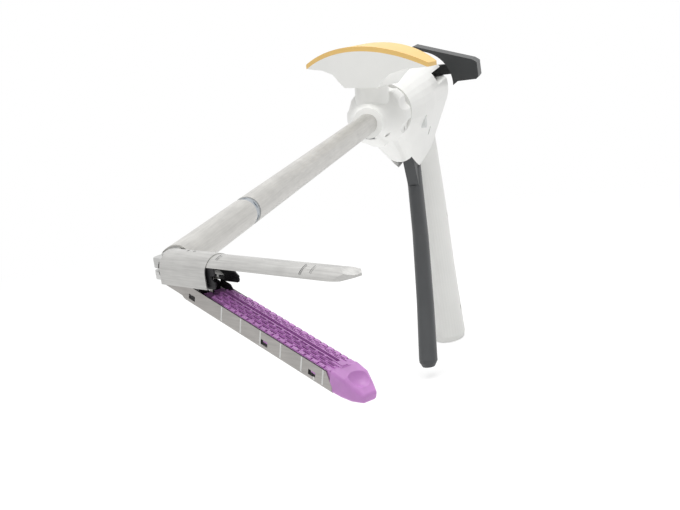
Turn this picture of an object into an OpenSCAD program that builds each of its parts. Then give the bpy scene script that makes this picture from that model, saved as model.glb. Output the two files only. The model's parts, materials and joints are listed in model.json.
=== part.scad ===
// Endoscopic linear stapler, jaws turned to the left and open.
// +X runs along the shaft to the jaws, +Z is up, the origin is the middle of the shaft tube.

/* [Shaft] */
// Outside diameter of the shaft tube
shaft_od = 12; // [11:0.25:14]
// Length of the shaft tube from the knob to the coupling ring
shaft_len = 260; // [160:5:300]
// Wall of the shaft tube
shaft_wall = 0.6; // [0.4:0.1:0.8]
// Width of the coupling ring
ring_w = 6; // [4:0.5:10]
// Distance from the shaft tube's end to the articulation pivot
reload_len = 97; // [80:1:120]

/* [Jaws] */
// Turn of the jaws to the left, as pictured
bend_deg = 53; // [0:1:55]
// Opening between the jaws, as pictured
open_deg = 18; // [8:1:20]
// Stapled length
cut_len = 60; // [52:4:60]
// Distance from the jaw hinge to the first staples
zero_u = 22.4; // [21.5:0.1:26]
// Length of the cartridge nose
nose_len = 12; // [9:0.5:14]
// Outside diameter of the jaws
jaw_od = 12.4; // [12.2:0.1:13]
// Wall of the cover sleeve
sleeve_wall = 0.45; // [0.3:0.05:0.6]
// Length of the cover sleeve
sleeve_len = 26.3; // [25:0.1:28]

/* [Cartridge] */
// Distance between staples of one row
staple_pitch = 4; // [3.8:0.1:4.4]
// Length of one staple slot
slot_len = 2.8; // [2.4:0.1:3]
// Width of one staple slot
slot_w = 0.7; // [0.5:0.05:0.75]
// Thickness of the knife blade
blade_t = 0.9; // [0.6:0.1:1.1]
// Wall of the steel channel
channel_wall = 0.4; // [0.3:0.05:0.5]

/* [Rotation knob] */
// Length of the knob
knob_len = 50; // [46:1:56]
// Radius of the knob at its widest
knob_r = 18.5; // [17:0.5:19]
// Radius of the knob at its nose
knob_nose_r = 9; // [8:0.5:11]
// Number of finger grooves round the knob
flutes = 8; // [6:1:10]

/* [Articulation lever] */
// Distance from the lever's centre to each tip
lever_half = 42; // [38:1:43]
// Height of the lever's top over the shaft axis
lever_top = 44; // [42:0.5:48]
// Depth of the lever at its centre
lever_hub = 26; // [24:1:28]

/* [Handle] */
// Half width of the housing
pod_half_w = 24; // [22:0.5:26]
// Length of the housing behind the knob
pod_len = 166; // [160:1:176]
// Depth of the housing under the shaft axis
pod_drop = 50; // [47:1:54]
// Height of the grip's foot under the shaft axis
grip_drop = 182; // [165:1:195]
// Depth of the grip from front to back
grip_d = 29; // [26:1:32]
// Width of the grip
grip_w = 22; // [20:1:26]
// Length of the trigger under its pivot
trigger_len = 153; // [140:1:158]
// Width of the trigger
trigger_w = 12; // [11:0.5:14]
// Distance from the centre line to each retraction knob's tip
wing_half = 43; // [40:1:48]

/* [Hidden] */

$fn = 64;
// Overrun of every cut
over = 0.5;
// Play between pieces that are seated in each other
fit_gap = 0.05;
// Play between pieces that move past each other
run_gap = 0.25;

// Shaft
shaft_r = shaft_od / 2;
bore_r = shaft_r - shaft_wall;
knob_x = -shaft_len / 2;
ring_x = shaft_len / 2;
pivot_x = ring_x + reload_len;
spigot_r = shaft_r - shaft_wall / 2;

// Joint between the tube and the jaws
tongue_t = 1.2;
tongue_top = shaft_r - 1.5 * shaft_wall - tongue_t / 2;
tongue_w = 5;
knuckle_r = shaft_r - shaft_wall / 1.5;
tube_gap = 5.5;
cup_r = 7;
plug_len = 10;
art_pin_r = 1.2;
notch_h = 1.2;
block_len = 10;
block_half = 4.85;
hinge_bite = 1.5;
block_drop = 4.4;

// Jaws
jaw_r = jaw_od / 2;
sleeve_x = 2;
flange_drop = 4.6;
hinge_x = 3;
hinge_z = -0.75;
hinge_pin_r = 1;
anvil_z = 2.7;
plate_t = 1.5;
anvil_r = jaw_r - sleeve_wall / 2;
anvil_seat_r = jaw_r - sleeve_wall - fit_gap;
anvil_bore_r = anvil_seat_r - 0.6 * sleeve_wall / 0.45;
plate_x = 23.5;
anvil_back = 0.8;
anvil_nose_len = 9.3;
anvil_tip_half = 1.4;
nose_u = zero_u + cut_len + 0.9 * staple_pitch;
anvil_nose_x = hinge_x + nose_u - anvil_back;
stop_x = 20;
stop_len = 12;
stop_t = 0.5;
stop_drop = 5.5;

// Cartridge
channel_half = 5.5;
channel_in = channel_half - channel_wall;
channel_top = 1.1;
channel_drop = 5.1;
corner_r = 1;
ear_r = 2.2;
floor_u = 4;
body_half = channel_in - fit_gap;
body_u = zero_u - 2.2;
deck_u = zero_u + 4.4;
margin_w = 1.2;
inner_w = 2.5;
step_shares = [[1, 0], [0.82, 0.4], [0.595, 0.7], [0.376, 1]];
row_shares = [0.27, 0.485, 0.7];
web_w = -1.2;
skirt_t = 0.3;
knife_slot_w = blade_t + 0.4;
anvil_slot_w = blade_t + 0.7;
staples_per_row = floor(cut_len / staple_pitch);
rail_w = 0.45;
rail_h = 0.25;
boss_h = 0.2;
pad_pitch = 3.1;
pad_r = 1.15;
pad_h = 0.55;
nose_ball_r = 1.3;
nose_shares = [[0, 1, 0.9, -1], [0.4, 0.93, 0.5, -1], [0.72, 0.72, -0.3, -1], [1, 0.42, -0.62, -0.86]];
dimple_r = 5.2;
window_len = 3.3;
window_h = 1.8;
window_marks = [-6, 32, 55];
slant_run = 3.1;
slant_drop = 4.1;
channel_past = 0.7;
rear_u = 11;
rear_run = 2.3;
rear_drop = 1.3;
knife_u = 10.5;
knife_len = 10;
knife_top = 5.35;
flange_t = 0.35;
foot_t = 0.55;
foot_half = 2;
sled_len = 5.5;
sleeve_hole_r = 0.55;
sleeve_hole_shares = [0.38, 0.52];
sled_top = -2.2;
wall_floor = channel_drop - channel_wall;

// Knob, lever and handle
knob_lean = 4;
knob_screw_shares = [0.34, 0.82];
boss_r = 10;
lever_d = 22;
lever_turned = 20;
lever_lift = 1.5;
lever_under = knob_r + lever_lift;
lever_tip_r = 5;
lever_tip_drop = 11;
lever_shares = [[0.26, 0], [0.34, 0.12], [0.46, 0.32], [0.66, 0.42], [1.1, 0.46]];
inlay_t = 2.8;
inlay_edge = 0.2;
lever_pin_r = 3;
knob_gap = 4;
pod_front = knob_len + knob_gap;
pod_front_r = 18;
pod_wall = 2.4;
bushing_len = 8;
bushing_t = 3;
trigger_back = 64;
trigger_d = pod_front + trigger_back;
trigger_z = -22;
trigger_pin_r = 3;
trigger_hub_r = 9;
grip_back = 54;
grip_d0 = trigger_d + grip_back;
wing_inset = 15;
wing_d = pod_front + pod_len - wing_inset;
wing_z = 9;
wing_len = 20;
wing_bar_h = 7;
wing_shares = [[0, 0.66], [0.93, 0.335], [1, 0.28], [1, 0.05], [0.96, 0.01], [0.65, 0.01], [0.54, -0.07], [0, -0.07]];
saddle_gap = 0.7;
fire_travel = cut_len;
rod_r = 2.5;
rack_w = 4;
rack_h = 5;
rack_pitch = 5;
rack_inset = 8;
rack_d = pod_front + rack_inset;
link_y = -3.6;
link_w = 1.4;
link_t = 1;
button_r = 4;
button_ahead = 34;
button_d = trigger_d - button_ahead;
button_z = -12;
release_x = 6;
release_len = 4.6;
release_travel = 2;
release_w = 5;
pawl_x = 17;
pawl_z = 10;
pawl_h = 7.2;

knob_screw_z = spigot_r + lever_pin_r;
lever_foot = shaft_r + lever_pin_r;
lever_neck = lever_top - inlay_t - lever_pin_r;
arm_w = 0.6 * trigger_w;
screw_r = 2;
spring_wire = 1;

function dx(d) = knob_x - d;
function bevel_r(run, drop) = (run * run + drop * drop) / (2 * drop);

// A section drawn in Y and Z, run along X
module along_x(x, len) {
    translate([x, 0, 0]) rotate([90, 0, 90]) linear_extrude(len) children();
}

// An outline drawn in X and Z, run across Y on both sides
module across_y(w) {
    rotate([90, 0, 0]) translate([0, 0, -w / 2]) linear_extrude(w) children();
}

module rod_x(x, len, r) {
    translate([x, 0, 0]) rotate([0, 90, 0]) cylinder(h = len, r = r);
}

module tube_x(x, len, r, bore) {
    difference() {
        rod_x(x, len, r);
        rod_x(x - over, len + 2 * over, bore);
    }
}

module pin_y(x, y, z, len, r) {
    translate([x, y, z]) rotate([-90, 0, 0]) cylinder(h = len, r = r);
}

module block(x, y, z, dx, dy, dz) {
    translate([x, y, z]) cube([dx, dy, dz]);
}

module jaw_frame() {
    translate([pivot_x, 0, 0]) rotate([0, 0, bend_deg]) children();
}

module cartridge_frame() {
    jaw_frame() translate([hinge_x, 0, hinge_z]) rotate([0, open_deg, 0]) children();
}

module both_sides() {
    children();
    mirror([0, 1, 0]) children();
}

// Shaft tube, coupling ring and reload tube
module outer_shaft() {
    color("silver") difference() {
        union() {
            rod_x(knob_x, shaft_len, shaft_r);
            rod_x(dx(pod_front + boss_r), pod_front + boss_r + over, spigot_r);
        }
        rod_x(dx(pod_front + boss_r) - over, shaft_len + pod_front + boss_r + 2 * over, bore_r - fit_gap);
    }
}

module coupling_ring() {
    slot = ring_w / 3;
    color("slategray") difference() {
        tube_x(ring_x, ring_w, spigot_r, bore_r - fit_gap);
        for (turn = [0 : 60 : 300])
            rotate([turn, 0, 0])
                block(ring_x + slot, -slot, bore_r, slot, 2 * slot, shaft_wall + over);
    }
}

module reload_tube() {
    color("gainsboro") difference() {
        tube_x(ring_x + ring_w, reload_len - ring_w - tube_gap, shaft_r, bore_r);
        translate([pivot_x, 0, -jaw_od]) cylinder(h = 2 * jaw_od, r = cup_r);
    }
}

module tongue(z) {
    translate([pivot_x, 0, z]) cylinder(h = tongue_t, d = tongue_w);
    block(pivot_x - cup_r - over, -tongue_w / 2, z, cup_r + over, tongue_w, tongue_t);
}

module tube_end() {
    plug_r = bore_r - fit_gap;
    color("darkgray") difference() {
        intersection() {
            union() {
                difference() {
                    rod_x(pivot_x - tube_gap - plug_len, plug_len, plug_r);
                    translate([pivot_x, 0, -jaw_od]) cylinder(h = 2 * jaw_od, r = cup_r);
                }
                tongue(tongue_top - tongue_t / 2);
                tongue(-tongue_top - tongue_t / 2);
            }
            rod_x(pivot_x - 2 * plug_len, 3 * plug_len, plug_r);
        }
        translate([pivot_x, 0, -jaw_od]) cylinder(h = 2 * jaw_od, r = art_pin_r + fit_gap / 5);
        block(pivot_x - tube_gap - plug_len - over, -plug_r + fit_gap, -notch_h / 2,
            plug_len + 2 * over, 1.25 * plug_r, notch_h);
    }
}

module articulation_pins() {
    reach = tongue_top + tongue_t / 2 + fit_gap;
    root = notch_h;
    color("dimgray") for (side = [0, 1])
        mirror([0, 0, side])
            translate([pivot_x, 0, root]) cylinder(h = reach - root, r = art_pin_r);
}

// Flat link beside the centre line, with an eye at its tip
module articulation_link() {
    tip_x = pivot_x - link_w * 2.5;
    color("silver") difference() {
        union() {
            block(knob_x, link_y - link_w / 2, -link_t / 2, tip_x - knob_x, link_w, link_t);
            translate([tip_x, link_y, -link_t / 2]) cylinder(h = link_t, d = link_w);
        }
        translate([tip_x, link_y, -link_t]) cylinder(h = 2 * link_t, d = link_w / 2);
    }
}

// Jaw mounting: two half blocks with a rounded knuckle
module knuckle_plan() {
    intersection() {
        circle(r = knuckle_r);
        translate([-knuckle_r, -knuckle_r]) square([knuckle_r + sleeve_x / 4, 2 * knuckle_r]);
    }
    translate([0, -block_half]) square([block_len, 2 * block_half]);
}

module mounting_blank() {
    tongue_low = tongue_top - tongue_t / 2 - run_gap / 2;
    intersection() {
        union() {
            translate([0, 0, -tongue_low]) linear_extrude(2 * tongue_low) knuckle_plan();
            block(tongue_w / 2 + run_gap, -block_half, -block_drop,
                block_len - tongue_w / 2 - run_gap, 2 * block_half, block_drop + shaft_r);
        }
        rod_x(-jaw_od, 2 * jaw_od, anvil_seat_r - fit_gap);
    }
}

module mounting_cuts() {
    translate([0, 0, -jaw_od]) cylinder(h = 2 * jaw_od, r = art_pin_r + fit_gap);
    block(-jaw_od, -jaw_od, -notch_h / 2, jaw_od + hinge_x - hinge_pin_r - run_gap, 2 * jaw_od, notch_h);
    block(-jaw_od, -blade_t / 2 - fit_gap, -notch_h, jaw_od + block_len + over, blade_t + 2 * fit_gap, 2 * notch_h);
}

module mounting_upper() {
    color("lightgray") jaw_frame() difference() {
        intersection() {
            mounting_blank();
            block(-jaw_od, -jaw_od, notch_h / 2 + fit_gap, jaw_od + block_len - tongue_w / 2, 2 * jaw_od, jaw_od);
        }
        mounting_cuts();
    }
}

module mounting_lower() {
    color("darkgray") jaw_frame() difference() {
        intersection() {
            mounting_blank();
            block(-jaw_od, -jaw_od, -jaw_od, 3 * jaw_od, 2 * jaw_od, jaw_od + notch_h / 2);
        }
        mounting_cuts();
        pin_y(hinge_x, -jaw_od, hinge_z, 2 * jaw_od, hinge_pin_r + fit_gap / 5);
    }
}

module jaw_hinge_pins() {
    reach = jaw_r - sleeve_wall - run_gap / 2;
    color("silver") jaw_frame() both_sides()
        pin_y(hinge_x, block_half - hinge_bite, hinge_z, reach - block_half + hinge_bite, hinge_pin_r);
}

// Anvil side
module hood(r, drop) {
    intersection() {
        circle(r = r);
        translate([-r, 0]) square([2 * r, r]);
    }
    translate([-r, -drop]) square([2 * r, drop]);
}

module cover_sleeve() {
    color("whitesmoke") jaw_frame() difference() {
        along_x(sleeve_x, sleeve_len) hood(jaw_r, flange_drop);
        along_x(sleeve_x - over, sleeve_len + 2 * over) hood(jaw_r - sleeve_wall, flange_drop + over);
        for (share = sleeve_hole_shares)
            translate([sleeve_x + share * sleeve_len, 0, 0]) cylinder(h = jaw_od, r = sleeve_hole_r, $fn = 24);
    }
}

module over_anvil_line(x, len) {
    block(x, -jaw_od, anvil_z, len, 2 * jaw_od, jaw_od);
}

// Ogive plan of the nose: two large arcs that meet at a round tip
module ogive(x, run, half, tip) {
    r = bevel_r(run, half - tip);
    intersection() {
        translate([x, half - r]) circle(r = r, $fn = 128);
        translate([x, r - half]) circle(r = r, $fn = 128);
        translate([x - over, -half]) square([run + over, 2 * half]);
    }
}

module anvil_cover() {
    start = block_len + over;
    body_len = anvil_nose_x - start;
    lip_half = sqrt(anvil_r * anvil_r - anvil_z * anvil_z);
    rise = plate_t / 2;
    color("whitesmoke") jaw_frame() difference() {
        intersection() {
            union() {
                rod_x(start, body_len, anvil_seat_r);
                rod_x(sleeve_x + sleeve_len + fit_gap, anvil_nose_x + anvil_nose_len, anvil_r);
            }
            over_anvil_line(start - over, body_len + anvil_nose_len + 2 * over);
            union() {
                block(start - over, -jaw_od, -jaw_od, body_len + over, 2 * jaw_od, 2 * jaw_od);
                translate([0, 0, -jaw_od]) linear_extrude(2 * jaw_od)
                    ogive(anvil_nose_x, anvil_nose_len, lip_half, anvil_tip_half);
            }
            across_y(2 * jaw_od) union() {
                translate([start - over, -jaw_od]) square([body_len + over, 2 * jaw_od]);
                polygon([
                    [anvil_nose_x - over, anvil_z],
                    [anvil_nose_x + 0.6 * anvil_nose_len, anvil_z],
                    [anvil_nose_x + anvil_nose_len, anvil_z + rise],
                    [anvil_nose_x + anvil_nose_len, anvil_z + 2 * rise],
                    [anvil_nose_x + 0.5 * anvil_nose_len, anvil_r - rise / 2],
                    [anvil_nose_x - over, anvil_r + over]]);
            }
        }
        rod_x(start - over, body_len - plate_t + over, anvil_bore_r);
    }
}

module anvil_plate() {
    len = anvil_nose_x - plate_t - fit_gap - plate_x;
    pocket_h = plate_t / 4;
    color("silver") jaw_frame() difference() {
        intersection() {
            rod_x(plate_x, len, anvil_bore_r - fit_gap);
            block(plate_x, -jaw_od, anvil_z, len, 2 * jaw_od, plate_t);
        }
        block(plate_x - over, -anvil_slot_w / 2, anvil_z - over,
            len - 2 * plate_t + over, anvil_slot_w, plate_t + 2 * over);
        for (row = [0 : 2], i = [0 : staples_per_row - 1], side = [-1, 1])
            translate([hinge_x + zero_u + (i + 0.5 + 0.5 * (row % 2)) * staple_pitch,
                side * row_shares[row] * body_half, anvil_z])
                cube([slot_len, slot_w, 2 * pocket_h], center = true);
    }
}

module tissue_stop() {
    y = body_half - stop_t - fit_gap;
    color("dimgray") jaw_frame() both_sides()
        translate([0, y + stop_t / 2, anvil_z]) across_y(stop_t) polygon([
            [stop_x, 0],
            [stop_x + stop_len, 0],
            [stop_x + stop_len, -0.44 * stop_drop],
            [stop_x + 0.97 * stop_len, -0.5 * stop_drop],
            [stop_x + 0.82 * stop_len, -0.53 * stop_drop],
            [stop_x + 0.84 * stop_len, -0.68 * stop_drop],
            [stop_x + 0.98 * stop_len, -0.9 * stop_drop],
            [stop_x + 0.98 * stop_len, -stop_drop],
            [stop_x + 0.4 * stop_len, -stop_drop],
            [stop_x, -0.5 * stop_drop]]);
}

// Cartridge side
module channel_section(half, drop, r) {
    translate([-half, -drop + r]) square([2 * half, channel_top + drop - r]);
    translate([-half + r, -drop]) square([2 * (half - r), r + over]);
    for (side = [-1, 1])
        translate([side * (half - r), -drop + r]) circle(r = r, $fn = 32);
}

// Everything behind the slanted end of the channel, grown by a margin
module behind_slant(grow) {
    end_u = nose_u + channel_past + grow;
    across_y(2 * jaw_od) polygon([
        [-jaw_od, -jaw_od], [end_u, -jaw_od], [end_u, channel_top - slant_drop],
        [end_u - slant_run, channel_top], [end_u - slant_run, jaw_od], [-jaw_od, jaw_od]]);
}

module cartridge_channel() {
    len = nose_u + jaw_od;
    ear_back = block_drop + channel_wall;
    color("darkgray") cartridge_frame() difference() {
        intersection() {
            union() {
                difference() {
                    along_x(0, len) channel_section(channel_half, channel_drop, corner_r);
                    along_x(-over, len + 2 * over) translate([0, over])
                        channel_section(channel_in, wall_floor + over, corner_r - channel_wall);
                }
                both_sides() pin_y(0, channel_in, 0, channel_wall, ear_r);
            }
            behind_slant(0);
            union() {
                pin_y(0, -jaw_od, 0, 2 * jaw_od, ear_r);
                block(0, -jaw_od, -jaw_od, len, 2 * jaw_od, 2 * jaw_od);
            }
        }
        across_y(2 * jaw_od) polygon([
            [-jaw_od, rear_drop - channel_drop], [rear_u, rear_drop - channel_drop],
            [rear_u + rear_run, -channel_drop - fit_gap], [rear_u, -jaw_od], [-jaw_od, -jaw_od]]);
        block(-over, -channel_in, -channel_drop - over, floor_u + over, 2 * channel_in, ear_back);
        block(rear_u - over, -knife_slot_w / 2, -channel_drop - over,
            zero_u + cut_len - rear_u, knife_slot_w, channel_wall + 2 * over);
        pin_y(0, -jaw_od, 0, 2 * jaw_od, hinge_pin_r + fit_gap);
        for (mark = window_marks)
            block(zero_u + mark - window_len / 2, -jaw_od, -channel_drop / 2 - window_h / 2 + fit_gap,
                window_len, 2 * jaw_od, window_h);
    }
}

module deck_section() {
    for (s = step_shares) {
        half = s.x * body_half;
        translate([-half, web_w]) square([2 * half, margin_w + s.y * (inner_w - margin_w) - web_w]);
    }
    for (side = [0, 1])
        mirror([side, 0]) translate([body_half - skirt_t, corner_r - wall_floor])
            square([skirt_t, wall_floor - corner_r]);
}

module nose_ball(share, half_share, z_share) {
    high = inner_w - nose_ball_r;
    low = channel_drop - nose_ball_r;
    translate([nose_u + share * (nose_len - nose_ball_r), half_share * (channel_half - nose_ball_r),
        z_share * (z_share > 0 ? high : low)])
        sphere(r = nose_ball_r, $fn = 24);
}

module nose_shape() {
    hull() both_sides() for (s = nose_shares) {
        nose_ball(s[0], s[1], s[2]);
        nose_ball(s[0], s[1], s[3]);
    }
    block(nose_u - slant_run, -body_half, corner_r - wall_floor,
        slant_run + nose_ball_r, 2 * body_half, wall_floor - corner_r + margin_w);
}

// Places of the staples: distance along the jaw and side
module at_staples(i0, i1, shift) {
    for (row = [0 : 2], i = [i0 : i1], side = [-1, 1])
        translate([zero_u + (i + 0.5 + shift + 0.5 * (row % 2)) * staple_pitch,
            side * row_shares[row] * body_half, 0]) children();
}

module staple_slots() {
    at_staples(0, staples_per_row - 1, 0) cube([slot_len, slot_w, 4 * inner_w], center = true);
}

// Small round bosses between the slots of each row, level with their own step
module slot_bosses() {
    for (row = [0 : 2], i = [0 : staples_per_row - 2], side = [-1, 1]) {
        level = margin_w + step_shares[3 - row].y * (inner_w - margin_w);
        translate([zero_u + (i + 1 + 0.5 * (row % 2)) * staple_pitch,
            side * row_shares[row] * body_half, level - boss_h])
            cylinder(h = 2 * boss_h, r = slot_w / 2, $fn = 16);
    }
}

// Round pads along both edges of the deck
module edge_pads() {
    run = nose_u - pad_pitch - deck_u;
    both_sides() intersection() {
        for (i = [0 : floor(run / pad_pitch)])
            translate([deck_u + pad_r + i * pad_pitch, body_half - pad_r / 3, margin_w - pad_h])
                cylinder(h = 2 * pad_h, r = pad_r, $fn = 24);
        block(0, 0, 0, nose_u, body_half, jaw_od);
    }
}

module cartridge_body() {
    body_len = nose_u - body_u;
    color("orchid") cartridge_frame() difference() {
        union() {
            intersection() {
                along_x(body_u, body_len + over) deck_section();
                across_y(2 * jaw_od) polygon([
                    [body_u, -jaw_od], [nose_u + over, -jaw_od], [nose_u + over, jaw_od],
                    [deck_u, jaw_od], [deck_u, inner_w], [deck_u - inner_w, 0], [body_u, 0]]);
            }
            block(deck_u, -knife_slot_w / 2 - rail_w, 0, nose_u - deck_u, knife_slot_w + 2 * rail_w,
                inner_w + rail_h);
            slot_bosses();
            edge_pads();
            difference() {
                nose_shape();
                difference() {
                    behind_slant(fit_gap);
                    block(0, -body_half, corner_r - wall_floor, 2 * nose_u, 2 * body_half, 2 * jaw_od);
                }
            }
        }
        staple_slots();
        block(body_u - over, skirt_t - body_half, -jaw_od, nose_u - body_u + 2 * over,
            2 * (body_half - skirt_t), jaw_od + web_w);
        block(body_u - over, -knife_slot_w / 2, -jaw_od, zero_u + cut_len + knife_slot_w - body_u,
            knife_slot_w, 2 * jaw_od);
        both_sides() block(body_u - over, body_half - stop_t - 3 * fit_gap - run_gap / 2, -wall_floor - over,
            stop_len + sleeve_x / 2, 2 * stop_t + over, jaw_od);
        translate([nose_u + 0.66 * nose_len, 0, dimple_r - 0.12 * channel_drop]) sphere(r = dimple_r);
    }
}

// Each pusher drives three staples of one side
module pushers() {
    plate_w = slot_w - 2 * fit_gap;
    plate_len = slot_len - 4 * fit_gap;
    reach = -web_w;
    foot = 0.65 * slot_len / 2;
    sole = slot_w;
    color("goldenrod") cartridge_frame() for (i = [0 : staples_per_row - 1], side = [-1, 1])
        translate([zero_u + (i + 0.5) * staple_pitch, 0, web_w]) {
            for (row = [0 : 2])
                translate([0.5 * (row % 2) * staple_pitch, side * row_shares[row] * body_half, (reach - foot) / 2])
                    cube([plate_len, plate_w, reach + foot], center = true);
            y0 = row_shares[0] * body_half - plate_w / 2;
            y1 = row_shares[2] * body_half + plate_w / 2;
            mid = side > 0 ? y0 : -y1;
            translate([-plate_len / 2 + staple_pitch / 8, mid, -foot]) cube([plate_len, y1 - y0, sole]);
        }
}

module knife() {
    low = -channel_drop - foot_t;
    edge = knife_len / 3;
    color("silver") cartridge_frame() {
        across_y(blade_t) polygon([
            [knife_u, low + foot_t / 2], [knife_u + knife_len, low + foot_t / 2],
            [knife_u + knife_len, -wall_floor + foot_t], [knife_u + knife_len - edge, 0],
            [knife_u + knife_len, knife_top], [knife_u, knife_top]]);
        block(knife_u, -foot_half, knife_top - flange_t, knife_len - 2 * flange_t, 2 * foot_half, flange_t);
        block(knife_u, -foot_half, low - run_gap / 2, knife_len, 2 * foot_half, foot_t);
    }
}

module sled() {
    u = knife_u + knife_len + fit_gap;
    low = -wall_floor + 2 * fit_gap;
    half = body_half - skirt_t - run_gap;
    color("white") cartridge_frame() {
        block(u, -half, low, sled_len, 2 * half, foot_t);
        for (row = [0, 2], side = [-1, 1])
            translate([0, side * row_shares[row] * body_half, 0]) across_y(slot_w) polygon([
                [u, low], [u + sled_len, low], [u + 0.4 * sled_len, sled_top], [u, sled_top]]);
    }
}

// Rotation knob, two half shells on the shaft
module knob_blank() {
    rotate([0, -90, 0]) translate([0, 0, -knob_x]) rotate_extrude($fn = 96) polygon(knob_outline());
}

function knob_outline() = concat(
    [[0, 0]],
    [for (t = [0 : 0.125 : 1])
        [knob_nose_r + (knob_r - knob_nose_r) * (1 - cos(180 * t)) / 2, 0.06 * knob_len + 0.66 * knob_len * t]],
    [[knob_r, 0.92 * knob_len], [0.94 * knob_r, knob_len], [0, knob_len]]);

module knob_frame() {
    rotate([-knob_lean, 0, 0]) children();
}

module knob_half(side) {
    groove_r = knob_r / 3;
    groove_reach = knob_r * 1.22;
    knob_frame() difference() {
        union() {
            difference() {
                knob_blank();
                for (i = [0 : flutes - 1])
                    rotate([(i + 0.5) * 360 / flutes, 0, 0])
                        translate([dx(1.05 * knob_len), 0, groove_reach])
                            rotate([0, 90, 0]) cylinder(h = knob_len * 0.8, r = groove_r);
            }
            translate([dx(lever_d), 0, 0]) cylinder(h = lever_under - run_gap, r = boss_r);
        }
        rod_x(dx(knob_len) - over, knob_len + 2 * over, spigot_r + fit_gap / 5);
        translate([dx(lever_d), 0, lever_foot]) cylinder(h = jaw_od * 3, r = lever_pin_r + fit_gap);
        block(dx(2 * knob_len), side > 0 ? -4 * knob_r : 0, -2 * knob_r, 4 * knob_len, 4 * knob_r, 4 * knob_r);
        for (share = knob_screw_shares)
            pin_y(dx(share * knob_len), -knob_r * 2, -knob_screw_z, 4 * knob_r, lever_pin_r / 2);
        block(dx(release_x + release_len + 2 * run_gap + release_travel), -release_w / 2 - run_gap,
            -2 * knob_nose_r, release_len + 2 * run_gap + release_travel, release_w + 2 * run_gap, 2 * knob_nose_r - spigot_r - shaft_wall);
    }
}

module knob_left() {
    color("ivory") knob_half(1);
}

module knob_right() {
    color("ivory") knob_half(-1);
}

module knob_screws() {
    screw_r = lever_pin_r / 2 - fit_gap / 5;
    color("silver") knob_frame() for (share = knob_screw_shares)
        pin_y(dx(share * knob_len), -0.22 * knob_r, -knob_screw_z, 0.44 * knob_r, screw_r);
}

module release_button() {
    color("dimgray") knob_frame()
        block(dx(release_x + release_len + run_gap), -release_w / 2, -knob_nose_r - shaft_wall,
            release_len, release_w, knob_nose_r - shaft_r - fit_gap);
}

// Articulation lever: an arched bar on a vertical pin
module lever_plan(edge) {
    half = lever_hub / 2 - edge;
    r = bevel_r(lever_half, half - lever_tip_r);
    intersection() {
        translate([r - half, 0]) circle(r = r, $fn = 128);
        translate([half - r, 0]) circle(r = r, $fn = 128);
        circle(r = lever_half - edge);
    }
}

module lever_arch(top) {
    r = bevel_r(lever_half, lever_tip_drop);
    reach = lever_top - lever_under;
    along_x(-lever_hub, 2 * lever_hub) intersection() {
        translate([0, top - r]) circle(r = r, $fn = 128);
        polygon(concat(
            [for (s = lever_shares) [s.x * lever_half, lever_under + s.y * reach]],
            [[2 * lever_half, lever_top], [-2 * lever_half, lever_top]],
            [for (i = [len(lever_shares) - 1 : -1 : 0])
                [-lever_shares[i].x * lever_half, lever_under + lever_shares[i].y * reach]]));
    }
}

module articulation_lever() {
    color("ivory") knob_frame() difference() {
        translate([dx(lever_d), 0, 0]) rotate([0, 0, -lever_turned]) intersection() {
            linear_extrude(lever_top) lever_plan(0);
            lever_arch(lever_top - inlay_t);
        }
        translate([dx(lever_d), 0, lever_foot])
            cylinder(h = lever_neck - lever_foot, r = lever_pin_r + fit_gap / 5);
    }
}

module lever_inlay() {
    color("goldenrod") knob_frame() translate([dx(lever_d), 0, 0]) rotate([0, 0, -lever_turned]) difference() {
        intersection() {
            linear_extrude(lever_top) lever_plan(inlay_edge);
            lever_arch(lever_top);
        }
        lever_arch(lever_top - inlay_t);
    }
}

module lever_shaft() {
    color("silver") knob_frame() translate([dx(lever_d), 0, lever_foot])
        cylinder(h = lever_neck - lever_foot - run_gap, r = lever_pin_r);
}

// Handle housing in two halves
module station(d, z, half_w, half_h, lean) {
    translate([dx(d), 0, z]) rotate([0, 90 + lean, 0])
        scale([half_h, half_w, 1]) cylinder(h = pod_wall / 4, r = 1, $fn = 36);
}

module pod_hull() {
    tail = pod_front + pod_len;
    high = 0.95 * pod_half_w;
    hull() {
        station(pod_front, 0, pod_front_r, pod_front_r, 0);
        station(pod_front + 0.16 * pod_len, 0, 0.94 * pod_half_w, high, 0);
        station(trigger_d - trigger_hub_r, 0, pod_half_w, high, 0);
        station(trigger_d, -0.6 * pod_drop, 0.42 * pod_half_w, 0.4 * pod_drop, 0);
        station(grip_d0 - grip_d / 3, -0.5 * pod_drop, 0.5 * pod_half_w, 0.42 * pod_drop, 0);
        station(tail - 0.22 * pod_len, 0, 0.95 * pod_half_w, high, 0);
        station(tail, 0, 0.6 * pod_half_w, 0.6 * pod_half_w, 0);
    }
}

module grip_station(share, half_share, depth_share) {
    z = -grip_drop * share;
    translate([dx(grip_d0 + 0.09 * grip_drop * share), 0, z])
        scale([depth_share * grip_d / 2, half_share * grip_w / 2, 1])
            cylinder(h = pod_wall, r = 1, $fn = 36);
}

module grip_hull() {
    hull() {
        grip_station(0.1, 0.9, 1.15);
        grip_station(0.42, 1, 1);
    }
    hull() {
        grip_station(0.42, 1, 1);
        grip_station(0.72, 1, 0.96);
    }
    hull() {
        grip_station(0.72, 1, 0.96);
        grip_station(0.98, 1.06, 1.16);
        grip_station(1, 0.98, 1.08);
    }
}

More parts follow.
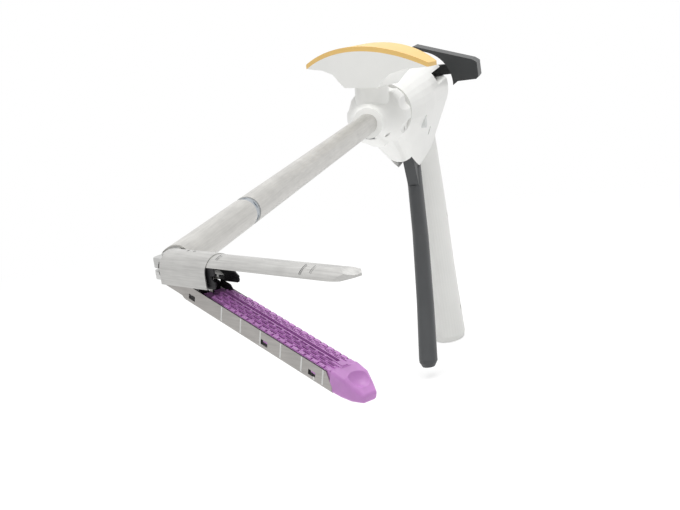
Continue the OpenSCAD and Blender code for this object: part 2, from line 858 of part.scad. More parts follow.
module pod_cavity() {
    front = pod_front + 3 * bushing_len;
    back = wing_d + wing_bar_h;
    mid = trigger_z + pawl_z;
    reach_front = pawl_x + 3 * trigger_pin_r;
    reach_back = 0.24 * trigger_len;
    slot_w = trigger_w + 2 * bushing_t / 3;
    across_y(1.08 * pod_half_w) polygon([
        [dx(front), 0.6 * pod_half_w], [dx(back), 0.6 * pod_half_w], [dx(back), -rack_h],
        [dx(trigger_d + reach_back), mid - pawl_z / 2], [dx(front), mid - pawl_z / 2]]);
    block(dx(trigger_d + reach_back), -slot_w / 2, -2 * pod_drop, reach_back + reach_front, slot_w,
        2 * pod_drop + mid);
}

module housing_half(side) {
    slot_h = wing_bar_h + 4 * run_gap;
    difference() {
        union() {
            pod_hull();
            grip_hull();
        }
        pod_cavity();
        rod_x(dx(pod_front + 3 * bushing_len), 3 * bushing_len + pod_wall, shaft_r + bushing_t);
        block(dx(wing_d + wing_bar_h), -2 * pod_half_w, wing_z - slot_h / 2,
            fire_travel + 2 * wing_bar_h, 4 * pod_half_w, slot_h);
        pin_y(dx(trigger_d), -2 * pod_half_w, trigger_z, 4 * pod_half_w, trigger_pin_r + fit_gap / 5);
        pin_y(dx(button_d), -2 * pod_half_w, button_z, 4 * pod_half_w, button_r + fit_gap);
        for (p = screw_places())
            pin_y(dx(p.x), -0.45 * grip_w, p.y, 2 * pod_half_w, screw_r + fit_gap / 5);
        block(dx(2 * pod_len + pod_front), side > 0 ? -4 * pod_half_w : 0, -2 * grip_drop,
            4 * pod_len, 4 * pod_half_w, 4 * grip_drop);
    }
}

function screw_places() = [
    [grip_d0 + 0.05 * grip_drop, -0.5 * grip_drop], [grip_d0 + 0.08 * grip_drop, -0.88 * grip_drop],
    [pod_front + 0.97 * pod_len, -0.05 * pod_drop]];

module housing_left() {
    color("ivory") housing_half(1);
}

module housing_right() {
    color("ivory") housing_half(-1);
}

module housing_screws() {
    color("silver") for (p = screw_places())
        pin_y(dx(p.x), -0.35 * grip_w, p.y, 0.7 * grip_w, screw_r);
}

module shaft_bushing() {
    color("white") difference() {
        rod_x(dx(pod_front + pod_wall + bushing_len), bushing_len, shaft_r + bushing_t - fit_gap);
        rod_x(dx(pod_front + 2 * bushing_len), 3 * bushing_len, spigot_r + fit_gap);
    }
}

// Trigger
module trigger_pin() {
    len = 1.2 * pod_half_w;
    color("silver") pin_y(dx(trigger_d), -len / 2, trigger_z, len, trigger_pin_r);
}

module trigger_spring() {
    coil_r = trigger_pin_r + spring_wire / 2 + fit_gap;
    color("silver") translate([dx(trigger_d), arm_w / 2, trigger_z]) rotate([-90, 0, 0])
        for (i = [0, 1])
            translate([0, 0, (i + 1) * (spring_wire + fit_gap)]) rotate_extrude() translate([coil_r, 0])
                circle(d = spring_wire, $fn = 16);
}

function trigger_pts() = [[-0.1, -0.17], [-0.052, -0.46], [0.052, -0.75], [0.16, -0.97]];

module trigger_arm() {
    bore = trigger_pin_r + fit_gap;
    hub = trigger_hub_r;
    color("dimgray") difference() {
        translate([dx(trigger_d), 0, trigger_z]) across_y(arm_w) {
            circle(r = hub);
            polygon([[-hub, 0], [-0.155 * trigger_len, -0.2 * trigger_len],
                [-0.04 * trigger_len, -0.24 * trigger_len], [hub, 0]]);
            polygon([[0, hub], [hub, -hub / 3], [pawl_x + 0.35 * hub, pawl_z], [pawl_x, pawl_z + 0.35 * hub]]);
        }
        pin_y(dx(trigger_d), -trigger_w, trigger_z, 2 * trigger_w, bore);
        pin_y(dx(trigger_d) + pawl_x, -trigger_w, trigger_z + pawl_z, 2 * trigger_w, trigger_pin_r / 2 + fit_gap / 5);
        block(dx(trigger_d) + pawl_x - 2 * trigger_pin_r, -rack_w / 2, trigger_z + pawl_z - 1.4 * trigger_pin_r,
            pawl_x, rack_w, pawl_x);
    }
}

module trigger_station(p, half_share, depth) {
    translate([dx(trigger_d) + p.x * trigger_len, 0, trigger_z + p.y * trigger_len])
        scale([depth, half_share * trigger_w / 2, 1]) cylinder(h = pod_wall, r = 1, $fn = 32, center = true);
}

module trigger_pad() {
    depth = trigger_w * 0.7;
    pts = trigger_pts();
    color("dimgray") difference() {
        union() {
            for (i = [0 : 2]) hull() {
                trigger_station(pts[i], 0.8 + 0.07 * i, depth * (1 - 0.04 * i));
                trigger_station(pts[i + 1], 0.87 + 0.07 * i, depth * (0.96 - 0.04 * i));
            }
            hull() {
                trigger_station(pts[3], 1, depth * 0.84);
                trigger_station([pts[3].x + 0.008, pts[3].y - 0.02], 0.7, depth * 0.5);
            }
        }
        translate([dx(trigger_d), 0, trigger_z]) across_y(arm_w + 2 * fit_gap) polygon([
            [-trigger_hub_r, 0], [-0.18 * trigger_len, -0.14 * trigger_len],
            [-0.18 * trigger_len, -0.24 * trigger_len - fit_gap],
            [0, -0.24 * trigger_len - fit_gap], [trigger_hub_r, 0]]);
    }
}

module drive_pawl() {
    color("silver") translate([dx(trigger_d) + pawl_x, 0, trigger_z + pawl_z]) difference() {
        union() {
            pin_y(0, -rack_w / 2 + fit_gap, 0, rack_w - 2 * fit_gap, trigger_pin_r);
            across_y(rack_w - 2 * fit_gap) polygon([
                [-0.9 * trigger_pin_r, 0], [-0.1 * pawl_h, pawl_h], [0.2 * pawl_h, pawl_h], [0.9 * trigger_pin_r, 0]]);
        }
        pin_y(0, -rack_w, 0, 2 * rack_w, trigger_pin_r / 2 + fit_gap / 5);
    }
}

module pawl_pin() {
    color("dimgray") pin_y(dx(trigger_d) + pawl_x, -0.29 * trigger_w, trigger_z + pawl_z,
        0.58 * trigger_w, trigger_pin_r / 2);
}

// Firing train
module firing_rod() {
    end_x = ring_x + 3 * ring_w;
    color("silver") rod_x(dx(rack_d), end_x - dx(rack_d), rod_r);
}

module toothed_rack() {
    back = wing_d - wing_bar_h / 2;
    teeth = floor((back - rack_d) / rack_pitch) - 4;
    tooth_h = rack_h / 4;
    color("silver") difference() {
        block(dx(back), -rack_w / 2, -rack_h / 2 - tooth_h, back - rack_d, rack_w, rack_h + tooth_h);
        translate([dx(rack_d), 0, 0]) for (i = [0 : teeth - 1])
            translate([-(i + 1) * rack_pitch, 0, -rack_h / 2 - tooth_h]) across_y(2 * rack_w)
                polygon([[0, -over], [0, tooth_h], [rack_pitch * 0.85, -over]]);
    }
}

// A saddle that rides over the housing, on a bar through its long slot
module retraction_knobs() {
    inner = pod_half_w + saddle_gap;
    bar_x = dx(wing_d + wing_bar_h / 2);
    color([0.15, 0.15, 0.16]) {
        difference() {
            both_sides() along_x(dx(wing_d + wing_len / 2), wing_len)
                polygon([for (s = wing_shares) [s.x * wing_half, s.y * wing_half]]);
            rod_x(dx(wing_d + wing_len), 2 * wing_len, inner);
        }
        block(bar_x, -inner - 2 * saddle_gap, wing_z - wing_bar_h / 2, wing_bar_h,
            2 * (inner + 2 * saddle_gap), wing_bar_h);
        block(bar_x, -rack_w, -rack_h / 2, wing_bar_h, 2 * rack_w, wing_z);
    }
}

module safety_button() {
    len = 1.7 * pod_half_w;
    color("lightgray") pin_y(dx(button_d), -len / 2, button_z, len, button_r);
}

outer_shaft();
coupling_ring();
reload_tube();
tube_end();
articulation_pins();
articulation_link();
mounting_upper();
mounting_lower();
cover_sleeve();
anvil_cover();
anvil_plate();
tissue_stop();
jaw_hinge_pins();
cartridge_channel();
cartridge_body();
pushers();
knife();
sled();
knob_left();
knob_right();
knob_screws();
release_button();
articulation_lever();
lever_inlay();
lever_shaft();
shaft_bushing();
housing_left();
housing_right();
housing_screws();
trigger_pin();
trigger_spring();
trigger_arm();
trigger_pad();
drive_pawl();
pawl_pin();
firing_rod();
toothed_rack();
retraction_knobs();
safety_button();
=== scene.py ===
"""Endoscopic linear stapler: materials, soft edges, printed marks, painted shade, light and camera.
"""
import json
import math

import bmesh
import bpy
from mathutils import Matrix, Vector


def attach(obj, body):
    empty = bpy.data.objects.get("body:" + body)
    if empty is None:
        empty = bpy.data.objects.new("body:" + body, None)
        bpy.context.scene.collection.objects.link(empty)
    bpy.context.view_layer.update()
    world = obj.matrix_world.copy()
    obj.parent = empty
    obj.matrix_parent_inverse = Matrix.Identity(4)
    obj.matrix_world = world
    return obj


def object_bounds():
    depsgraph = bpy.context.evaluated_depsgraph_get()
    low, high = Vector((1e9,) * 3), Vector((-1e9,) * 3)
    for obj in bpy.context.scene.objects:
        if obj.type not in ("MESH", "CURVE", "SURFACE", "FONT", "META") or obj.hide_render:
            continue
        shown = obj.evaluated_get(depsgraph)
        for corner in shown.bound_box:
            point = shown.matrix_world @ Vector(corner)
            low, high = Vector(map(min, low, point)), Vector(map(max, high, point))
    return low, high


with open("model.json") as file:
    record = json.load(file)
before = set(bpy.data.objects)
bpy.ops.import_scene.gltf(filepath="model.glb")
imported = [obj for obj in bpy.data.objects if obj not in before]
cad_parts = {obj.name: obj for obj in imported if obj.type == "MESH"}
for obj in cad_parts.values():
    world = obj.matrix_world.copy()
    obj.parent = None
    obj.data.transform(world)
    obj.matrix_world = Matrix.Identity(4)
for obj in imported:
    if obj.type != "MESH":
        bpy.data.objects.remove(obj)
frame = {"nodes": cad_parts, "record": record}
CAD_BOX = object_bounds()
NODES = frame["nodes"]
SCENE = bpy.context.scene
MM = 0.001
WHITE = (1, 1, 1, 1)

# Sizes that the CAD model has too, in millimetres; angles in radians
PIVOT_X = 227.0
BEND = math.radians(53.0)
OPEN = math.radians(18.0)
HINGE = Vector((3.0, 0.0, -0.75))
ZERO_U = 22.4
CHANNEL_HALF = 5.5
CHANNEL_TOP = 1.1
CHANNEL_DROP = 5.1
JAW_R = 6.2
SLEEVE_WALL = 0.45

# Jaw frame and cartridge frame, in metres
JAW = Matrix.Translation((PIVOT_X * MM, 0, 0)) @ Matrix.Rotation(BEND, 4, "Z")
CARTRIDGE = JAW @ Matrix.Translation(HINGE * MM) @ Matrix.Rotation(OPEN, 4, "Y")
JAW_TURN = (0.0, 0.0, -BEND)


# Materials
class Nodes:
    """Adds nodes to the tree of a material or world and links them."""

    def __init__(self, owner):
        owner.use_nodes = True
        self.tree = owner.node_tree
        self.shader = self.tree.nodes.get("Principled BSDF")

    def add(self, kind, **values):
        """A new node; each value is a property of the node or the default of an input."""
        node = self.tree.nodes.new(kind)
        for key, value in values.items():
            if hasattr(node, key):
                setattr(node, key, value)
            else:
                node.inputs[key.replace("_", " ")].default_value = value
        return node

    def link(self, out, into):
        self.tree.links.new(out, into)

    def ramp(self, source, low, high):
        """Two colours, each given with its place on the ramp."""
        node = self.add("ShaderNodeValToRGB")
        for stop, (place, colour) in zip(node.color_ramp.elements, (low, high)):
            stop.position = place
            stop.color = (*colour, 1)
        self.link(source, node.inputs["Fac"])
        self.link(node.outputs["Color"], self.shader.inputs["Base Color"])

    def place(self, turn=(0, 0, 0), scale=(1, 1, 1)):
        """Object coordinates, turned and then stretched."""
        where = self.add("ShaderNodeTexCoord")
        spin = self.add("ShaderNodeMapping", Rotation=turn)
        stretch = self.add("ShaderNodeMapping", Scale=scale)
        self.link(where.outputs["Object"], spin.inputs["Vector"])
        self.link(spin.outputs["Vector"], stretch.inputs["Vector"])
        return stretch.outputs["Vector"]

    def noise(self, vector, scale, detail, rough=0.5):
        node = self.add("ShaderNodeTexNoise", Scale=scale, Detail=detail, Roughness=rough)
        self.link(vector, node.inputs["Vector"])
        return node.outputs["Fac"]

    def bump(self, height, strength, distance):
        node = self.add("ShaderNodeBump", Strength=strength, Distance=distance)
        self.link(height, node.inputs["Height"])
        self.link(node.outputs["Normal"], self.shader.inputs["Normal"])

    def roughness(self, source, low, high):
        node = self.add("ShaderNodeMapRange", To_Min=low, To_Max=high)
        self.link(source, node.inputs["Value"])
        self.link(node.outputs["Result"], self.shader.inputs["Roughness"])

    def mix(self, factor, first, second):
        node = self.add("ShaderNodeMixShader")
        self.link(factor, node.inputs["Fac"])
        self.link(first, node.inputs[1])
        self.link(second, node.inputs[2])
        return node.outputs[0]


def shade(colour, factor):
    return tuple(min(1.0, c * factor) for c in colour)


GRAIN_STRETCH = (40, 900, 900)
CLOUD_SHARE = 0.35
STAIN = 0.05
METAL_RELIEF = 0.00004
PLASTIC_RELIEF = 0.00003


def brushed_metal(name, colour, rough, turn=(0, 0, 0), contrast=0.12):
    """Metal with a fine grain along the piece's own X axis and faint cloudy stains."""
    mat = bpy.data.materials.new(name)
    n = Nodes(mat)
    streaks = n.noise(n.place(turn, GRAIN_STRETCH), 1.6, 4.0, 0.65)
    clouds = n.noise(n.place(turn), 90.0, 3.0)
    mix = n.add("ShaderNodeMix", data_type="FLOAT")
    mix.inputs["Factor"].default_value = CLOUD_SHARE
    n.link(streaks, mix.inputs["A"])
    n.link(clouds, mix.inputs["B"])
    both = mix.outputs["Result"]
    n.ramp(both, (0.3, shade(colour, 1 - contrast - STAIN)), (0.7, shade(colour, 1 + contrast)))
    n.shader.inputs["Metallic"].default_value = 1.0
    n.roughness(both, rough - 0.06, rough + 0.08)
    n.bump(streaks, 0.12, METAL_RELIEF)
    return mat


def moulded_plastic(name, colour, rough, speckle=0.04, bump=0.12):
    """Moulded plastic: fine surface grain, slight colour clouds."""
    mat = bpy.data.materials.new(name)
    n = Nodes(mat)
    where = n.place()
    fine = n.noise(where, 3500.0, 2.0)
    clouds = n.noise(where, 60.0, 3.0)
    n.ramp(clouds, (0.3, shade(colour, 1 - speckle)), (0.7, shade(colour, 1 + speckle)))
    n.shader.inputs["Specular IOR Level"].default_value = 0.35
    n.roughness(fine, rough - 0.04, rough + 0.06)
    n.bump(fine, bump, PLASTIC_RELIEF)
    return mat


def purple_moulding(name, colour, rough):
    """Cartridge plastic: slightly waxy, with fine mould grain."""
    mat = bpy.data.materials.new(name)
    n = Nodes(mat)
    where = n.place(JAW_TURN)
    fine = n.noise(where, 2600.0, 3.0)
    clouds = n.noise(where, 220.0, 3.0)
    n.ramp(clouds, (0.25, shade(colour, 0.92)), (0.75, shade(colour, 1.08)))
    n.shader.inputs["Subsurface Weight"].default_value = 0.12
    n.shader.inputs["Subsurface Radius"].default_value = (0.0012, 0.0006, 0.0012)
    n.shader.inputs["Subsurface Scale"].default_value = 1.0
    n.roughness(fine, rough - 0.05, rough + 0.06)
    n.bump(fine, 0.15, PLASTIC_RELIEF)
    return mat


# The maker of each material, its colour, its roughness and what the maker takes after them
LOOKS = {
    "shaft_steel": (brushed_metal, (0.56, 0.55, 0.525), 0.38),
    "ring_steel": (brushed_metal, (0.40, 0.43, 0.46), 0.34),
    "sleeve_steel": (brushed_metal, (0.52, 0.515, 0.50), 0.36, JAW_TURN, 0.16),
    "channel_steel": (brushed_metal, (0.385, 0.37, 0.355), 0.42, JAW_TURN, 0.16),
    "dark_steel": (brushed_metal, (0.52, 0.52, 0.51), 0.32, JAW_TURN),
    "steel": (brushed_metal, (0.60, 0.60, 0.59), 0.26),
    "black_trim": (moulded_plastic, (0.012, 0.011, 0.013), 0.5),
    "purple_plastic": (purple_moulding, (0.56, 0.245, 0.59), 0.42),
    "dark_purple": (moulded_plastic, (0.23, 0.07, 0.25), 0.5),
    "white_plastic": (moulded_plastic, (0.86, 0.86, 0.835), 0.32, 0.015),
    "amber_plastic": (moulded_plastic, (0.83, 0.55, 0.19), 0.34, 0.03),
    "dark_grey_plastic": (moulded_plastic, (0.075, 0.078, 0.081), 0.46, 0.05, 0.3),
    "pale_plastic": (moulded_plastic, (0.66, 0.67, 0.66), 0.4),
    "grey_plastic": (moulded_plastic, (0.16, 0.17, 0.18), 0.45),
    "black_plastic": (moulded_plastic, (0.036, 0.038, 0.039), 0.42, 0.05, 0.3),
    # Near-black steel: on the knife it is painted shade of the jaw base over bright steel
    "black_steel": (brushed_metal, (0.06, 0.06, 0.065), 0.4, JAW_TURN),
    "white_mark": (moulded_plastic, (0.70, 0.70, 0.685), 0.5, 0.02),
    # Near black: the anvil ticks, and the painted shadow of the channel's gap
    "dark_mark": (moulded_plastic, (0.05, 0.05, 0.05), 0.5, 0.02),
}
MATERIALS = {name: make(name, *values) for name, (make, *values) in LOOKS.items()}


def painted_shade_inside(name):
    """Sleeve steel with painted shade: black on its inner face round the jaw's own axis."""
    mat = MATERIALS["sleeve_steel"].copy()
    mat.name = name
    n = Nodes(mat)
    to_axis = (0, PIVOT_X * MM * math.sin(BEND), 0)
    where = n.add("ShaderNodeTexCoord")
    turn = n.add("ShaderNodeMapping", Rotation=JAW_TURN, Location=to_axis)
    parts = n.add("ShaderNodeSeparateXYZ")
    across = n.add("ShaderNodeCombineXYZ")
    length = n.add("ShaderNodeVectorMath", operation="LENGTH")
    inner = n.add("ShaderNodeMath", operation="LESS_THAN")
    inner.inputs[1].default_value = (JAW_R - 0.6 * SLEEVE_WALL) * MM
    # Near-black painted shade for the sleeve's inner face
    black = n.add("ShaderNodeBsdfPrincipled", Base_Color=(0.008, 0.008, 0.009, 1), Roughness=0.6)
    n.link(where.outputs["Object"], turn.inputs["Vector"])
    n.link(turn.outputs["Vector"], parts.inputs["Vector"])
    n.link(parts.outputs["Y"], across.inputs["Y"])
    n.link(parts.outputs["Z"], across.inputs["Z"])
    n.link(across.outputs["Vector"], length.inputs[0])
    n.link(length.outputs["Value"], inner.inputs[0])
    mixed = n.mix(inner.outputs[0], n.shader.outputs[0], black.outputs[0])
    n.link(mixed, n.tree.nodes["Material Output"].inputs["Surface"])
    return mat


# Soft edges
def smooth_by_angle(limit):
    """A node group that shades faces smooth across edges flatter than the limit."""
    group = bpy.data.node_groups.new("smooth_by_angle", "GeometryNodeTree")
    for way in ("INPUT", "OUTPUT"):
        group.interface.new_socket("Geometry", in_out=way, socket_type="NodeSocketGeometry")
    new, link = group.nodes.new, group.links.new
    start, end = new("NodeGroupInput"), new("NodeGroupOutput")
    faces, edges = new("GeometryNodeSetShadeSmooth"), new("GeometryNodeSetShadeSmooth")
    faces.domain, edges.domain = "FACE", "EDGE"
    angle = new("GeometryNodeInputMeshEdgeAngle")
    flat = new("FunctionNodeCompare")
    flat.data_type, flat.operation = "FLOAT", "LESS_THAN"
    flat.inputs[1].default_value = math.radians(limit)
    link(start.outputs[0], faces.inputs["Geometry"])
    link(faces.outputs[0], edges.inputs["Geometry"])
    link(angle.outputs["Unsigned Angle"], flat.inputs[0])
    link(flat.outputs[0], edges.inputs["Shade Smooth"])
    link(edges.outputs[0], end.inputs[0])
    return group


SMOOTH = smooth_by_angle(34.0)
BEVEL_ABOVE = math.radians(30.0)
BEVEL_SEGMENTS = 2


def soften(obj, width):
    """Rounds the edges of a piece by a bevel modifier, if a width is given, and shades it."""
    if width:
        bevel = obj.modifiers.new("soft_edges", "BEVEL")
        bevel.width = width * MM
        bevel.segments = BEVEL_SEGMENTS
        bevel.limit_method = "ANGLE"
        bevel.angle_limit = BEVEL_ABOVE
        bevel.use_clamp_overlap = True
    smooth = obj.modifiers.new("smooth", "NODES")
    smooth.node_group = SMOOTH


# Bevel widths in millimetres; a node that isn't here is only shaded smooth
SOFT = {
    "housing_left": 1.6, "housing_right": 1.6, "knob_left": 0.6, "knob_right": 0.6,
    "articulation_lever": 0.9, "lever_inlay": 0.7, "trigger_pad": 1.2, "trigger_arm": 0.4,
    "retraction_knobs": 1.6, "safety_button": 0.6, "release_button": 0.5, "anvil_cover": 0.2,
    "cover_sleeve": 0.12, "cartridge_channel": 0.1, "tissue_stop": 0.15, "mounting_upper": 0.3,
    "mounting_lower": 0.3, "tube_end": 0.25, "coupling_ring": 0.12, "outer_shaft": 0.2,
    "reload_tube": 0.15, "toothed_rack": 0.1, "knife": 0.06,
}
# Nodes that don't wear the material of their slot in the record
# The knife wears near-black steel as painted shade of the jaw base; the hinge pins wear it too
OTHER_LOOK = {
    "knife": "black_steel", "jaw_hinge_pins": "black_steel", "safety_button": "pale_plastic",
}


def dress_cad_nodes():
    slots = {row["node"]: row["material_slot"] for row in frame["record"]["subparts"]}
    for name, obj in NODES.items():
        obj.data.materials.clear()
        if name == "cover_sleeve":
            # The sleeve's inner face is painted black as painted shade
            obj.data.materials.append(painted_shade_inside("sleeve_steel_painted_shade_inside"))
        else:
            obj.data.materials.append(MATERIALS[OTHER_LOOK.get(name, slots[name])])
        soften(obj, SOFT.get(name, 0))


# Pieces of the scene's own: marks on the jaws, and black pieces of painted shade on and behind them
def prism_piece(name, prisms, matrix, look):
    """Closed prisms: each is a list of points and the vector it is run along, in millimetres."""
    bm = bmesh.new()
    for outline, run in prisms:
        low = [bm.verts.new(Vector(p) * MM) for p in outline]
        high = [bm.verts.new((Vector(p) + Vector(run)) * MM) for p in outline]
        bm.faces.new(list(reversed(low)))
        bm.faces.new(high)
        for i in range(len(low)):
            j = (i + 1) % len(low)
            bm.faces.new([low[i], low[j], high[j], high[i]])
    bmesh.ops.recalc_face_normals(bm, faces=bm.faces)
    mesh = bpy.data.meshes.new(name)
    bm.to_mesh(mesh)
    bm.free()
    obj = bpy.data.objects.new(name, mesh)
    obj.data.transform(matrix)
    obj.data.materials.append(MATERIALS[look])
    SCENE.collection.objects.link(obj)
    return obj


def strip_piece(name, quads, matrix, thickness, look):
    """Thin closed strips: each quad is four points, thickened towards the side it faces."""
    prisms = []
    for quad in quads:
        corners = [Vector(p) for p in quad]
        normal = (corners[1] - corners[0]).cross(corners[3] - corners[0]).normalized()
        prisms.append((corners, normal * thickness))
    return prism_piece(name, prisms, matrix, look)


def wall_quads(outlines, inset=0.0):
    """Upright outlines of (u, z) points on both walls of the channel, facing outwards."""
    quads = []
    for side in (-1, 1):
        y = side * (CHANNEL_HALF - inset)
        for outline in outlines:
            quad = [(u, y, z) for u, z in outline]
            quads.append(quad if side < 0 else quad[::-1])
    return quads


MARK_HALF = 0.36
LONG_MARK = (-CHANNEL_DROP + 1.05, CHANNEL_TOP - 0.1)
SHORT_MARK = (-CHANNEL_DROP + 0.45, -CHANNEL_DROP + 0.45 + 1.5)
SHORT_MARK_AT = 56.1
PRINT_THICK = 0.02


def add_scale_marks():
    """White marks every 10 mm on both walls of the channel, and a short one under a window."""
    outlines = []
    for at, (low, high) in [(mark, LONG_MARK) for mark in range(10, 61, 10)] + \
            [(SHORT_MARK_AT, SHORT_MARK)]:
        near, far = ZERO_U + at - MARK_HALF, ZERO_U + at + MARK_HALF
        outlines.append([(near, low), (far, low), (far, high), (near, high)])
    marks = strip_piece("scale_marks", wall_quads(outlines), CARTRIDGE, PRINT_THICK, "white_mark")
    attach(marks, "cartridge")


# Windows in the channel's walls, and the black sheets of painted shade inside them
WINDOW_MARKS = (-6.0, 32.0, 55.0)
WINDOW_HALF = 1.65
WINDOW_LOW = -0.5 * CHANNEL_DROP - 0.85
WINDOW_HIGH = -0.5 * CHANNEL_DROP + 0.95
SHADE_INSET = 0.43
SHADE_FOOT = 0.95


def add_window_painted_shade():
    """Painted shade: black L-shaped sheets inside the windows of the channel's walls."""
    foot = WINDOW_LOW + SHADE_FOOT
    outlines = []
    for mark in WINDOW_MARKS:
        near, far = ZERO_U + mark - WINDOW_HALF, ZERO_U + mark + WINDOW_HALF
        outlines.append([(near, WINDOW_LOW), (far, WINDOW_LOW), (far, foot - 0.2), (near, foot)])
        outlines.append([(near, foot), (near + 0.75, foot - 0.05), (near + 0.6, WINDOW_HIGH),
                         (near, WINDOW_HIGH)])
    quads = wall_quads(outlines, SHADE_INSET)
    # Black sheets of painted shade along the near and bottom edges inside each window
    shades = strip_piece("window_painted_shade", quads, CARTRIDGE, PRINT_THICK, "black_trim")
    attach(shades, "cartridge")


# Painted shadow of the gap between the channel walls and the cartridge
GAP_SHADOW_U = (ZERO_U + 1.5, ZERO_U + 61.5)
GAP_SHADOW_WIDTH = 0.34
GAP_SHADOW_THICK = 0.03


def add_gap_shadow_lines():
    """Painted shadow: a dark line of the gap along the top of both channel walls."""
    start, end = GAP_SHADOW_U
    quads = []
    for side in (-1, 1):
        y, inner = side * CHANNEL_HALF, side * (CHANNEL_HALF - GAP_SHADOW_WIDTH)
        quad = [(start, y, CHANNEL_TOP), (end, y, CHANNEL_TOP),
                (end, inner, CHANNEL_TOP), (start, inner, CHANNEL_TOP)]
        quads.append(quad if side < 0 else quad[::-1])
    lines = strip_piece("channel_gap_shadow", quads, CARTRIDGE, GAP_SHADOW_THICK, "dark_mark")
    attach(lines, "cartridge")


# Each tick's place along the jaw and half width, then where it starts and ends in degrees
# from the top towards -Y
TICKS = ((32.0, 0.14, 8, 34), (76.0, 0.16, 12, 52), (80.5, 0.1, 14, 44))
TICK_LIFT = 0.035
TICK_STEPS = 10


def arc_quads(x, half, radius, start, end):
    """A ribbon round the jaw's axis at x; angles in degrees from the top towards -Y."""
    quads = []
    for i in range(TICK_STEPS):
        angles = [math.radians(start + (end - start) * k / TICK_STEPS) for k in (i, i + 1)]
        pa, pb = [(-radius * math.sin(t), radius * math.cos(t)) for t in angles]
        quads.append([(x - half, *pb), (x + half, *pb), (x + half, *pa), (x - half, *pa)])
    return quads


def add_anvil_ticks():
    """Short dark ticks across the upper jaw."""
    quads = []
    for x, half, start, end in TICKS:
        quads += arc_quads(x, half, JAW_R + TICK_LIFT, start, end)
    ticks = strip_piece("anvil_ticks", quads, JAW, PRINT_THICK, "dark_mark")
    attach(ticks, "jaw")


# The skirts' profile is in the jaw's (x, z); the side sheet's in the cartridge's (u, z)
SKIRT_PROFILE = ((20.6, -2.7), (31.6, -2.7), (31.9, -3.4), (31.5, -4.3), (30.6, -4.6),
                 (24.0, -4.6), (20.6, -4.0))
SKIRT_Y = (-4.97, 4.53)
SKIRT_THICK = 0.44
SKIRT_EDGE = 0.1
# Painted shade: sizes of the black sheets behind the cartridge and of the side sheet
BASE_SHADE_U, BASE_SHADE_THICK = 18.5, 0.7
BASE_SHADE_HALF, BASE_SHADE_RISE, BASE_SHADE_ARC_Z = 4.25, 3.4, 0.5
BASE_SHADE_SLOT_HALF, BASE_SHADE_FOOT = 1.4, -4.2
BASE_SHADE_ANGLES = range(22, 91, 11)
SIDE_SHADE_PROFILE = ((19.3, 0.6), (26.3, 0.6), (26.3, 1.9), (24.6, 3.2), (19.3, 3.2))
SIDE_SHADE_Y, SIDE_SHADE_THICK = 3.9, 0.28


def add_jaw_base():
    """Black skirts under the tissue stops, partly painted shade, and painted-shade sheets behind
    the cartridge.
    """
    # Skirts below the tissue stops: partly the black stop plastic, partly painted shade
    stops = [([(x, y, z) for x, z in SKIRT_PROFILE], (0, SKIRT_THICK, 0)) for y in SKIRT_Y]
    skirts = prism_piece("stop_skirts_and_shade", stops, JAW, "black_trim")
    soften(skirts, SKIRT_EDGE)
    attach(skirts, "jaw")
    # Black sheets of painted shade across the jaw base, behind the cartridge
    half = [(BASE_SHADE_SLOT_HALF, BASE_SHADE_FOOT)]
    for degrees in BASE_SHADE_ANGLES:
        turn = math.radians(degrees)
        half.append((max(BASE_SHADE_SLOT_HALF, BASE_SHADE_HALF * math.sin(turn)),
                     BASE_SHADE_ARC_Z + BASE_SHADE_RISE * math.cos(turn)))
    half.append((BASE_SHADE_HALF, BASE_SHADE_FOOT))
    shade_sheets = [([(BASE_SHADE_U, side * y, z) for y, z in half], (BASE_SHADE_THICK, 0, 0))
              for side in (-1, 1)]
    shade_sheets.append(([(u, SIDE_SHADE_Y, z) for u, z in SIDE_SHADE_PROFILE], (0, SIDE_SHADE_THICK, 0)))
    base_shade = prism_piece("base_painted_shade", shade_sheets, CARTRIDGE, "black_trim")
    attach(base_shade, "cartridge")


# Floor, light and camera
def shown_when_seen(n, lit, shown, output):
    """Camera, mirror and clear rays meet the shown surface; all other rays meet the lit one."""
    path = n.add("ShaderNodeLightPath")
    seen = path.outputs["Is Camera Ray"]
    for ray in ("Is Glossy Ray", "Is Transmission Ray"):
        most = n.add("ShaderNodeMath", operation="MAXIMUM")
        n.link(seen, most.inputs[0])
        n.link(path.outputs[ray], most.inputs[1])
        seen = most.outputs[0]
    n.link(n.mix(seen, lit, shown), n.tree.nodes[output].inputs["Surface"])


FLOOR_HALF = 6.0
FLOOR_GAP = 0.0005
SHADOW_NEAR, SHADOW_FAR = 0.4, 0.9
SHADOW_MATTE, SHADOW_PALE = 0.42, 0.70


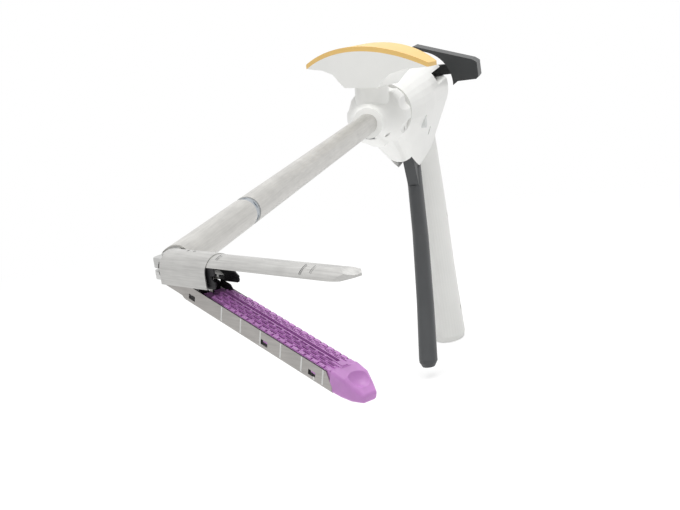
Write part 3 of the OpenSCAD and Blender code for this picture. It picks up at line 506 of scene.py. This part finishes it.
def add_floor():
    """White floor that keeps the object's shadow near it and is plain white farther out."""
    mat = bpy.data.materials.new("studio_floor")
    n = Nodes(mat)
    n.shader.inputs["Base Color"].default_value = (0.9, 0.9, 0.9, 1)
    n.shader.inputs["Roughness"].default_value = 0.9
    glow = n.add("ShaderNodeEmission", Strength=1.0, Color=WHITE)
    matte = n.add("ShaderNodeBsdfDiffuse", Color=(SHADOW_MATTE, SHADOW_MATTE, SHADOW_MATTE, 1))
    pale = n.add("ShaderNodeEmission", Strength=SHADOW_PALE, Color=WHITE)
    shaded = n.add("ShaderNodeAddShader")
    n.link(matte.outputs[0], shaded.inputs[0])
    n.link(pale.outputs[0], shaded.inputs[1])
    away = n.add("ShaderNodeVectorMath", operation="LENGTH")
    n.link(n.place(), away.inputs[0])
    fade = n.add("ShaderNodeMapRange", interpolation_type="SMOOTHSTEP",
                 From_Min=SHADOW_NEAR, From_Max=SHADOW_FAR)
    n.link(away.outputs["Value"], fade.inputs["Value"])
    shown = n.mix(fade.outputs["Result"], shaded.outputs[0], glow.outputs[0])
    shown_when_seen(n, n.shader.outputs[0], shown, "Material Output")
    z = CAD_BOX[0].z - FLOOR_GAP
    corners = [(x * FLOOR_HALF, y * FLOOR_HALF, z) for x, y in ((-1, -1), (1, -1), (1, 1), (-1, 1))]
    mesh = bpy.data.meshes.new("floor")
    mesh.from_pydata(corners, [], [(0, 1, 2, 3)])
    floor = bpy.data.objects.new("floor", mesh)
    floor.data.materials.append(mat)
    SCENE.collection.objects.link(floor)


WORLD_LIGHT = 0.42


def add_world():
    world = bpy.data.worlds.new("studio")
    SCENE.world = world
    n = Nodes(world)
    back = n.tree.nodes["Background"]
    back.inputs["Color"].default_value = WHITE
    back.inputs["Strength"].default_value = WORLD_LIGHT
    seen = n.add("ShaderNodeBackground", Color=WHITE, Strength=1.0)
    shown_when_seen(n, back.outputs[0], seen.outputs[0], "World Output")


# Each lamp's name, place, target and size in metres, and power in watts
LAMPS = (
    ("key", (0.7, -0.2, 1.5), (0.15, 0, 0), (1.2, 1.2), 8),
    ("fill", (1.2, 1.1, 0.6), (0.1, 0, 0), (1.4, 1.0), 0.8),
    ("top", (-0.1, 0.1, 1.6), (0.05, 0, 0), (1.6, 1.2), 23),
)


def add_lights():
    for name, place, target, size, power in LAMPS:
        light = bpy.data.lights.new(name, "AREA")
        light.shape = "RECTANGLE"
        light.size, light.size_y = size
        light.energy = power
        obj = bpy.data.objects.new(name, light)
        obj.location = place
        aim = Vector(target) - Vector(place)
        obj.rotation_euler = aim.to_track_quat("-Z", "Y").to_euler()
        SCENE.collection.objects.link(obj)


# The camera's place in millimetres from the articulation pivot and its axes, from the fit
# to the photograph
CAMERA_OFFSET = Vector((456.61, 169.30, 92.27))
CAMERA_RIGHT = Vector((-0.20467, 0.96874, -0.14021))
CAMERA_DOWN = Vector((0.22236, -0.09348, -0.97047))
FOCAL_PX = 1442.4
PHOTO_W = 680
SENSOR_MM = 36.0


def add_camera():
    data = bpy.data.cameras.new("camera")
    data.sensor_width = SENSOR_MM
    data.lens = FOCAL_PX * SENSOR_MM / PHOTO_W
    data.clip_start, data.clip_end = 0.02, 20
    cam = bpy.data.objects.new("camera", data)
    right = CAMERA_RIGHT.normalized()
    up = -CAMERA_DOWN.normalized()
    back = right.cross(up)
    turn = Matrix((right, up, back)).transposed().to_4x4()
    place = Vector((PIVOT_X, 0, 0)) + CAMERA_OFFSET
    cam.matrix_world = Matrix.Translation(place * MM) @ turn
    SCENE.collection.objects.link(cam)
    SCENE.camera = cam


SCENE.view_settings.view_transform = "Standard"
add_camera()
add_world()
add_lights()
add_floor()
dress_cad_nodes()
add_scale_marks()
add_gap_shadow_lines()
add_window_painted_shade()
add_anvil_ticks()
add_jaw_base()
